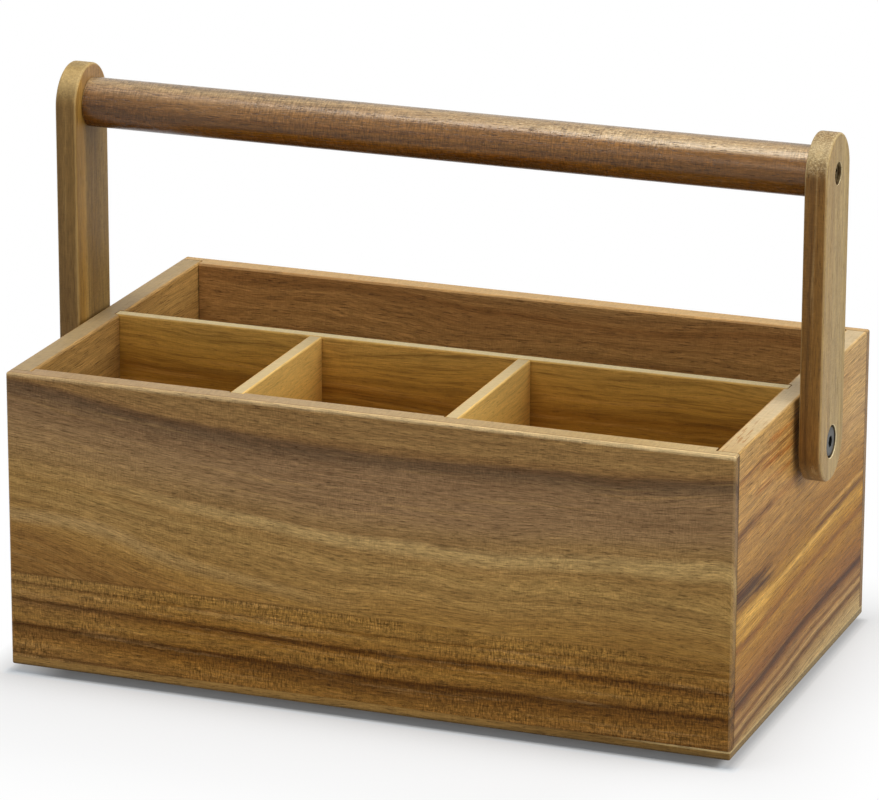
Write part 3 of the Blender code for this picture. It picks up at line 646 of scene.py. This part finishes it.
for name, seed in (("cross_divider_left", 4.3), ("cross_divider_right", 8.8)):
    wood, x, y, z = start_finish(f"{name}_sapwood")
    depth = wood.minus(rim_height, z)
    line = wood.plus(depth, wander(wood, y, z, x, 4, seed=seed))
    colour = wood.shades(line, [
        (-8, 236, 208, 148), (12, 230, 190, 118), (28, 216, 170, 94), (38, 216, 174, 100), (60, 198, 152, 84),
        (82, 204, 162, 96), (118, 192, 150, 88),
    ])
    dress(name, wood_surface(wood, colour, y, depth, x, line, "Y", streak=0.14, fibre=0.18, arris=0.6,
                             pore=0.20, ripple=0.05, shine=0.12, oil=(255, 240, 196), rim_marks=0.08,
                             rim_share=0.88, rim_tone_and_sheen=(188, 178, 164)))


# ---------------------------------------------------------------------------
# Feet. Four small rubber pads stuck under the corners, so that the box stands
# a few millimetres clear of the table.

def round_off(piece, wanted, size, steps=3):
    """Bevels the edges that pass the test."""
    pick(piece, "EDGE", wanted)
    bpy.ops.mesh.bevel(offset=size, segments=steps, clamp_overlap=True)
    bpy.ops.object.mode_set(mode="OBJECT")


def polish(piece, angle=40.0):
    """Smooth round faces and flat flat ones."""
    choose(piece)
    bpy.ops.object.shade_smooth_by_angle(angle=math.radians(angle))
    even = piece.modifiers.new("even_normals", "WEIGHTED_NORMAL")
    even.keep_sharp = True
    bpy.ops.object.modifier_apply(modifier=even.name)


rubber, x, y, z = start_finish("foot_rubber")
grain = rubber.cloud((x, y, z), (5, 5, 5), detail=3)
rubber_colour = rubber.shades(grain, [(0.3, 92, 90, 86), (0.7, 118, 116, 111)])
rubber_finish = rubber.shader(rubber_colour, rubber.fade(grain, 0.3, 0.7, 0.62, 0.78), grain, 0.00004,
                              {"Specular IOR Level": 0.4})
for corner in ("front_left", "front_right", "back_left", "back_right"):
    node_name = f"foot_{corner}"
    low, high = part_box(node_name)
    bpy.ops.object.select_all(action="DESELECT")
    bpy.ops.mesh.primitive_cylinder_add(vertices=64, radius=(high.x - low.x) / 2, depth=high.z - low.z,
                                        location=(low + high) / 2)
    foot = bpy.context.object
    foot.name = foot.data.name = f"{node_name}_pad"
    bpy.ops.object.transform_apply()
    round_off(foot, lambda at: at.z < low.z + 0.0002, 0.0008, steps=4)
    polish(foot)
    give(foot, rubber_finish)
    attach(foot, "box")
    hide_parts(node_name)


# ---------------------------------------------------------------------------
# Base screws. Ten small countersunk screws of bright zinc-plated steel that
# hold the bottom board to the walls. They only show from below.

def metal_surface(name, dark, light, roughness, metallic=1.0, dark_ring=None):
    """A plated metal, cloudy between two tones, with fine scratches. Beyond the dark ring, given as (height
    of the axis, radius) in millimetres, it is nearly black: painted shade on the head's rounded rim."""
    metal, x, y, z = start_finish(name)
    clouds = metal.cloud((x, y, z), (0.7, 0.7, 0.7), detail=3)
    scratches = metal.cloud((x, y, z), (9, 3.6, 9), detail=3, roughness=0.7)
    tint = metal.times_plus(scratches, 0.4, metal.times(clouds, 0.6))
    colour = metal.shades(tint, [(0.3, *dark), (0.7, *light)])
    if dark_ring:
        up = metal.minus(z, dark_ring[0])
        reach = metal.root(metal.plus(metal.times(y, y), metal.times(up, up)))
        # Painted shade on the head's rounded rim.
        painted_rim_shade = metal.fade(reach, dark_ring[1], dark_ring[1] + 0.4, 0, 0.85)
        colour = metal.layer(painted_rim_shade, colour, (16, 16, 14))
    gloss = metal.fade(scratches, 0.3, 0.7, roughness - 0.07, roughness + 0.09)
    return metal.shader(colour, gloss, scratches, 0.00002, {"Metallic": metallic})


zinc = metal_surface("zinc_plated_steel", (176, 178, 180), (214, 215, 216), 0.30)
for side, count in (("front", 3), ("back", 3), ("left", 2), ("right", 2)):
    for number in range(1, count + 1):
        dress(f"base_screw_{side}_{number}", zinc)


# ---------------------------------------------------------------------------
# Threaded inserts and washers. A brass insert in each side board takes the
# handle's bolt, and a steel washer keeps the arm off the wood.

brass = metal_surface("insert_brass", (176, 140, 74), (206, 172, 104), 0.32)
for side in ("left", "right"):
    dress(f"threaded_insert_{side}", brass)
    dress(f"pivot_washer_{side}", zinc)


# ---------------------------------------------------------------------------
# Handle arms. Flat acacia bars with full round ends and softened arrises. Each
# is counterbored below for its pivot bolt and above for the bar's screw.

def start_rod(name, low, high, centre_z, radius, sides=64):
    """A round rod along X from low to high, left in object mode as the only selected piece."""
    bpy.ops.object.select_all(action="DESELECT")
    bpy.ops.mesh.primitive_cylinder_add(vertices=sides, radius=radius, depth=high - low,
                                        location=((low + high) / 2, 0.0, centre_z),
                                        rotation=(0.0, math.pi / 2, 0.0))
    rod = bpy.context.object
    rod.name = rod.data.name = name
    bpy.ops.object.transform_apply()
    return rod


def drill(piece, cutter):
    """Takes the cutter out of the piece and throws the cutter away."""
    choose(piece)
    hole = piece.modifiers.new("hole", "BOOLEAN")
    hole.operation = "DIFFERENCE"
    hole.solver = "EXACT"
    hole.object = cutter
    bpy.ops.object.modifier_apply(modifier=hole.name)
    bpy.data.objects.remove(cutter)


def copy_turned_left(piece, name):
    """A copy of a right-hand piece for the left arm, half a turn round the upright axis."""
    choose(piece)
    bpy.ops.object.duplicate()
    twin = bpy.context.object
    twin.name = twin.data.name = name
    twin.rotation_euler.z = math.pi
    bpy.ops.object.transform_apply()
    return twin


hair = 0.00001  # places closer than this count as the same
clear = 0.002  # how far a cutter stands out of the piece
arris_size = 0.0011
bolt_bore = 0.0032
bolt_recess = 0.0061
screw_bore = 0.0022
screw_recess = 0.0042
arm_low, arm_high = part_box("handle_arm_right")
arm_radius = (arm_high.y - arm_low.y) / 2
pivot_z = arm_low.z + arm_radius
bar_z = arm_high.z - arm_radius
holes = ((pivot_z, bolt_bore, bolt_recess, 0.0029), (bar_z, screw_bore, screw_recess, 0.0034))

right_arm = start_rod("handle_arm_right_shaped", arm_low.x, arm_high.x, pivot_z, arm_radius, sides=128)
pick(right_arm, "EDGE", lambda at: at.z > pivot_z - hair)
bpy.ops.transform.translate(value=(0.0, 0.0, bar_z - pivot_z))
bpy.ops.object.mode_set(mode="OBJECT")
round_off(right_arm, lambda at: at.x < arm_low.x + hair, arris_size, steps=4)
round_off(right_arm, lambda at: at.x > arm_high.x - hair, arris_size, steps=4)
for centre, bore, recess, sink in holes:
    drill(right_arm, start_rod("bore", arm_low.x - clear, arm_high.x + clear, centre, bore))
    drill(right_arm, start_rod("recess", arm_high.x - sink, arm_high.x + clear, centre, recess, sides=96))
for centre, _, recess, _ in holes:
    round_off(right_arm, lambda at: abs(at.x - arm_high.x) < 3 * hair
              and abs(math.hypot(at.y, at.z - centre) - recess) < 3 * hair, 0.0004)
polish(right_arm)
left_arm = copy_turned_left(right_arm, "handle_arm_left_shaped")


def bored(wood, colour, x, y, z, outer_face):
    """The cut rims of the two recesses are painted pale: bare wood with a painted highlight. Inside, both
    have painted shade, nearly black in the lower one.
    """
    sunk = wood.times(wood.minus(outer_face, x), math.copysign(1, outer_face))
    for centre, radius, recess_shade_tone in ((pivot_z, bolt_recess, (28, 20, 12)), (bar_z, screw_recess, (70, 54, 34))):
        radius *= 1000.0
        up = wood.minus(z, centre * 1000)
        reach = wood.root(wood.plus(wood.times(y, y), wood.times(up, up)))
        # The pale rim: bare cut wood, with a painted highlight where the chamfer catches the light.
        rim = wood.fade(reach, radius + 0.42, radius + 0.50, 1, 0)
        colour = wood.layer(wood.times(rim, wood.fade(sunk, 0.02, 0.08)), colour, (252, 238, 208))
        # Painted shade inside each recess, below its chamfer.
        painted_recess_shade = wood.fade(reach, radius + 0.03, radius + 0.10, 1, 0)
        colour = wood.layer(wood.times(painted_recess_shade, wood.fade(sunk, 0.28, 0.40)), colour, recess_shade_tone)
    return colour


arm_middle = 146.0
arm_face = 150.2
wood, x, y, z = start_finish("handle_arm_right_acacia")
drift = wander(wood, z, y, x, 1.6, seed=1.3)
line = wood.plus(y, drift, wood.times(wood.minus(x, arm_middle), 0.25))
face_colour = wood.shades(line, [
    (-15, 160, 130, 84), (-11, 168, 141, 96), (-6, 158, 131, 90), (-2, 172, 148, 106), (3, 162, 138, 97),
    (7, 176, 152, 108), (11, 164, 140, 92), (15, 166, 140, 90),
])
edge_colour = wood.shades(wood.plus(x, wood.times(drift, 0.5)), [
    (141.5, 132, 94, 46), (143.6, 128, 90, 42), (144.8, 102, 70, 32), (145.8, 130, 92, 44),
    (148.4, 136, 98, 48), (150.4, 146, 108, 58),
])
on_edge = wood.fade(wood.size(wood.parts("Normal")["X"]), 0.45, 0.85, 1, 0)
colour = wood.layer(wood.times(on_edge, wood.fade(z, 198.5, 203.5, 1, 0.15)), face_colour, edge_colour)
speckle = wood.shades(wood.cloud((x, y, z), (1.4, 1.9, 1.9), detail=3, roughness=0.8), [
    (0.38, 80, 56, 30), (0.46, 128, 104, 72), (0.53, 158, 136, 104), (0.62, 206, 188, 160)])
colour = wood.layer(wood.times(on_edge, wood.fade(z, 199, 203, 0, 0.85)), colour, speckle)
arm_shadow = wood.times(wood.fade(z, 199, 209, 0.55, 0), wood.fade(z, 190, 200), on_edge)
colour = wood.layer(arm_shadow, colour, (112, 78, 40))
colour = bored(wood, colour, x, y, z, arm_face)
give(right_arm, wood_surface(wood, colour, z, y, x, line, "Z", fibre=0.44, pore=0.45, ripple=0.14, long=1.2,
                             end_shade=1, arris=wood.fade(z, 194, 203, 0.10, 0.28), oil=(250, 246, 226),
                             streaks=((118, 88, 52), (206, 178, 132), (110, 80, 46)),
                             arris_tone=(232, 212, 172)))
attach(right_arm, "handle")
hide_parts("handle_arm_right")

wood, x, y, z = start_finish("handle_arm_left_acacia")
drift = wander(wood, z, y, x, 1.6, seed=6.1)
line = wood.plus(y, drift, wood.times(wood.plus(x, arm_middle), 0.2))
# The ramp is the arm's grain, with painted light on the golden band near the front and painted shade on the
# greyer face behind it.
colour = wood.shades(line, [
    (-15, 122, 92, 54), (-12.5, 150, 114, 60), (-8, 180, 138, 70), (-5.4, 186, 146, 80), (-3.6, 150, 120, 72),
    (2, 144, 114, 72), (8, 148, 120, 76), (15, 154, 126, 80),
])
facing = wood.parts("Normal")
speckle = wood.shades(wood.cloud((x, y, z), (0.9, 1.3, 1.3), detail=3, roughness=0.8), [
    (0.36, 150, 128, 90), (0.50, 166, 144, 104), (0.64, 182, 160, 120)])
colour = wood.layer(wood.fade(facing["Z"], 0.05, 0.5, 0, 0.75), colour, speckle)
above_bar = wood.times(wood.fade(z, 200, 208), wood.fade(y, -12, -6),
                       wood.fade(facing["X"], 0.80, 0.95, 0, 0.8))
colour = wood.layer(above_bar, colour, (172, 134, 94))
colour = wood.layer(wood.fade(facing["Y"], -0.9, -0.6, 0.45, 0), colour, (124, 100, 68))
colour = bored(wood, colour, x, y, z, -arm_face)
give(left_arm, wood_surface(wood, colour, z, y, x, line, "Z", streak=0.22, fibre=0.40, pore=0.30, long=1.2,
                            end_shade=1.0, oil=(250, 246, 222),
                            streaks=((104, 76, 42), (204, 172, 120), (96, 68, 36))))
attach(left_arm, "handle")
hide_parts("handle_arm_left")


# ---------------------------------------------------------------------------
# Handle bar. A turned walnut rod, butted between the arms and held by one
# screw at each end. Its ends are broken with a small bevel.

bar_low, bar_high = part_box("handle_bar")
bar_end = bar_high.x + 0.00025
pilot_depth = 0.0206
bar = start_rod("handle_bar_turned", -bar_end, bar_end, bar_z, (bar_high.z - bar_low.z) / 2, sides=160)
round_off(bar, lambda at: at.x < hair - bar_end, 0.0006)
round_off(bar, lambda at: at.x > bar_end - hair, 0.0006)
drill(bar, start_rod("pilot", -bar_end - 0.001, pilot_depth - bar_end, bar_z, screw_bore, sides=32))
drill(bar, start_rod("pilot", bar_end - pilot_depth, bar_end + 0.001, bar_z, screw_bore, sides=32))
polish(bar)

wood, x, y, z = start_finish("handle_bar_walnut")
height = wood.minus(z, bar_z * 1000)
drift = wander(wood, x, y, height, 1.3, seed=2.2)
line = wood.plus(wood.times(height, 0.9), wood.times(y, 0.45), drift)
# Darkest on the underside and palest in a band near the top: painted shade below and a painted highlight
# above, over the walnut's streaks.
colour = wood.shades(line, [
    (-12, 62, 36, 10), (-9.5, 84, 50, 14), (-8.0, 122, 75, 24), (-6.6, 142, 94, 34), (-5.4, 114, 74, 32),
    (-4.2, 132, 92, 48), (-2.6, 112, 74, 38), (-1, 132, 94, 56), (1, 129, 94, 60), (3, 137, 104, 73),
    (5, 141, 111, 83), (7, 168, 144, 116), (9, 128, 108, 86), (12, 134, 113, 90),
])
warmth = wood.times(wood.bend(x, [(-140, 0.05), (-60, 0.05), (0, 0.12), (70, 0.24), (140, 0.36)]),
                    wood.fade(line, 3, 5.5, 1, 0), wood.fade(line, -8, -4))
colour = wood.layer(warmth, colour, (152, 108, 50))
# Painted shade on the lower side, darkest towards the left end.
shaded_lower_side = wood.fade(line, 0, 4, 1, 0)
colour = wood.layer(wood.times(wood.fade(x, -140, -70, 0.45, 0), shaded_lower_side), colour, (84, 55, 28))
colour = wood.layer(wood.times(wood.fade(x, 20, 120, 0, 0.60), shaded_lower_side), colour, (112, 74, 30))
glint = wood.times(wood.fade(x, -80, 110, 0.08, 0.62), wood.within(line, 1.4, 3.6, 4.6, 7.2))
colour = wood.layer(glint, colour, (212, 191, 164))
# Pale specks in the top band: painted sparkle of the highlight.
painted_sparkle = wood.cloud((x, height, y), (0.9, 1.6, 1.6))
painted_sparkle = wood.times(wood.fade(painted_sparkle, 0.52, 0.66, 0, 0.55), wood.near(line, 5.6, 0.4, 2.2),
                         wood.fade(x, -60, 60))
colour = wood.layer(painted_sparkle, colour, (226, 208, 182))
# The end bevels are painted pale, most on the upper side: a painted highlight.
bar_end_highlight = wood.times(wood.fade(wood.size(x), bar_end * 1000 - 0.7, bar_end * 1000 - 0.4),
                     wood.fade(line, -5, 2, 0.15, 0.75))
colour = wood.layer(bar_end_highlight, colour, (196, 174, 146))
give(bar, wood_surface(wood, colour, x, height, y, line, "X", streak=0.16, fibre=0.58, pore=0.80, ripple=0.40,
                       long=0.8, arris=0.0, shine=0.34, roughness=0.25, oil=(250, 243, 218),
                       streaks=((78, 54, 34), (176, 138, 100), (70, 46, 28))))
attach(bar, "handle")
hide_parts("handle_bar")


# ---------------------------------------------------------------------------
# Bar screws. One small steel wood screw at the top of each arm, sunk below the
# face, with a cross recess in its head.

def draw_in(piece, face_x, from_radius, to_radius, end_x):
    """From a flat end at face_x, insets to the new radius and runs it out to end_x."""
    pick(piece, "FACE", lambda at: abs(at.x - face_x) < hair)
    bpy.ops.mesh.inset(thickness=from_radius - to_radius)
    bpy.ops.mesh.extrude_region_move(TRANSFORM_OT_translate={"value": (end_x - face_x, 0.0, 0.0)})
    bpy.ops.object.mode_set(mode="OBJECT")


screw_head = 0.0038
screw_shank = 0.0019
screw_core = 0.0017
screw_sunk = 0.0013
screw_head_height = 0.0018
screw_reach = 0.0200
screw_face = arm_high.x - screw_sunk
screw_under = screw_face - screw_head_height
screw_tip = arm_low.x - screw_reach
taper_start = screw_tip + 0.0038
taper_end = screw_tip + 0.0020
screw = start_rod("bar_screw_right_cut", screw_under, screw_face, bar_z, screw_head)
draw_in(screw, screw_under, screw_head, screw_shank, taper_start)
draw_in(screw, taper_start, screw_shank, screw_core, taper_end)
pick(screw, "FACE", lambda at: at.x < taper_end + hair)
bpy.ops.transform.resize(value=(1.0, 0.5, 0.5), center_override=(screw_tip, 0.0, bar_z))
bpy.ops.object.mode_set(mode="OBJECT")
round_off(screw, lambda at: at.x > screw_face - hair, 0.0005, steps=4)
for turn in (0.0, math.pi / 2):
    bpy.ops.object.select_all(action="DESELECT")
    bpy.ops.mesh.primitive_cube_add(size=1.0, location=(screw_face + 0.0002, 0.0, bar_z),
                                    rotation=(turn + 0.35, 0.0, 0.0), scale=(0.0030, 0.0013, 0.0050))
    slot_cutter = bpy.context.object
    bpy.ops.object.transform_apply()
    drill(screw, slot_cutter)
polish(screw, 35.0)
give(screw, metal_surface("bar_screw_steel", (84, 68, 44), (128, 110, 78), 0.28, metallic=0.5))
left_screw = copy_turned_left(screw, "bar_screw_left_cut")
for piece, node_name in ((screw, "bar_screw_right"), (left_screw, "bar_screw_left")):
    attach(piece, "handle")
    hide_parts(node_name)


# ---------------------------------------------------------------------------
# Pivot bolts. Black-oxide shoulder bolts with a flat head and a hexagon socket.
# Each is tight in its insert, and the arm turns on its smooth shoulder.

bolt_head = 0.0055
bolt_shoulder = 0.0029
bolt_thread = 0.0024
shoulder_end = 0.1403
socket_radius = 0.0040 / math.sqrt(3)
bolt_low, bolt_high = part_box("pivot_bolt_right")
bolt_face = bolt_high.x - 0.0003
bolt_under = bolt_high.x - 0.0024
bolt = start_rod("pivot_bolt_right_cut", bolt_under, bolt_face, pivot_z, bolt_head, sides=96)
draw_in(bolt, bolt_under, bolt_head, bolt_shoulder, shoulder_end)
draw_in(bolt, shoulder_end, bolt_shoulder, bolt_thread, bolt_low.x)
round_off(bolt, lambda at: at.x > bolt_face - hair, 0.0004, steps=4)
drill(bolt, start_rod("socket", bolt_under + 0.0007, bolt_face + 0.001, pivot_z, socket_radius, sides=6))
polish(bolt, 35.0)
give(bolt, metal_surface("pivot_bolt_black_oxide", (48, 49, 46), (70, 71, 66), 0.38,
                         dark_ring=(pivot_z * 1000.0, 4.2)))
left_bolt = copy_turned_left(bolt, "pivot_bolt_left_cut")
for piece, node_name in ((bolt, "pivot_bolt_right"), (left_bolt, "pivot_bolt_left")):
    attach(piece, "box")
    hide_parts(node_name)
